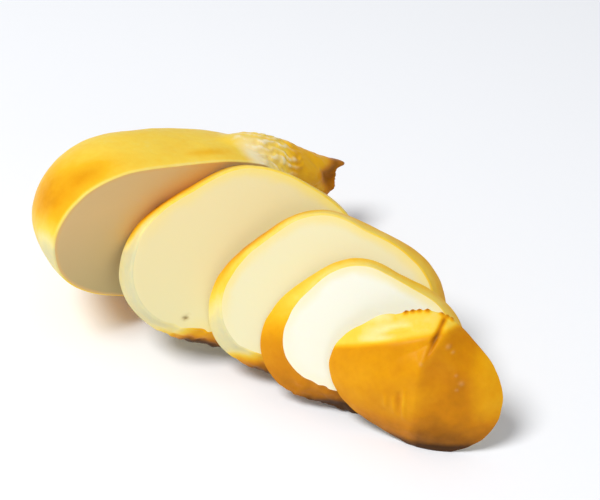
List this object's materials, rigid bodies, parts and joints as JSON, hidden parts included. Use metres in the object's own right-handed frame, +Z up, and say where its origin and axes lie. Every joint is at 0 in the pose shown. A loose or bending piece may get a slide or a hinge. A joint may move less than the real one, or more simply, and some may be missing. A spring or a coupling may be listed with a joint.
{
  "type": "sliced smoked scamorza cheese",
  "caption": "Smoked scamorza cheese with a tied neck, cut lengthwise into a heel, slices and a folded end cap that lean on each other in a fan.",
  "frame": {"origin": "on the table, under the middle of the fanned cheese's box", "axes": "+X along the fan, from the heel to the end cap; -Y the side that the cut faces look to; +Z up"},
  "size_m": [0.1616, 0.1338, 0.0679],
  "materials": {
    "smoked_rind": "waxy golden smoked rind",
    "paste": "smooth moist cut cheese"
  },
  "bodies": {
    "root": {"heel": "smoked_rind", "slice_1": "paste", "slice_2": "paste", "slice_3": "paste", "end_cap": "smoked_rind"}
  },
  "joints": []
}
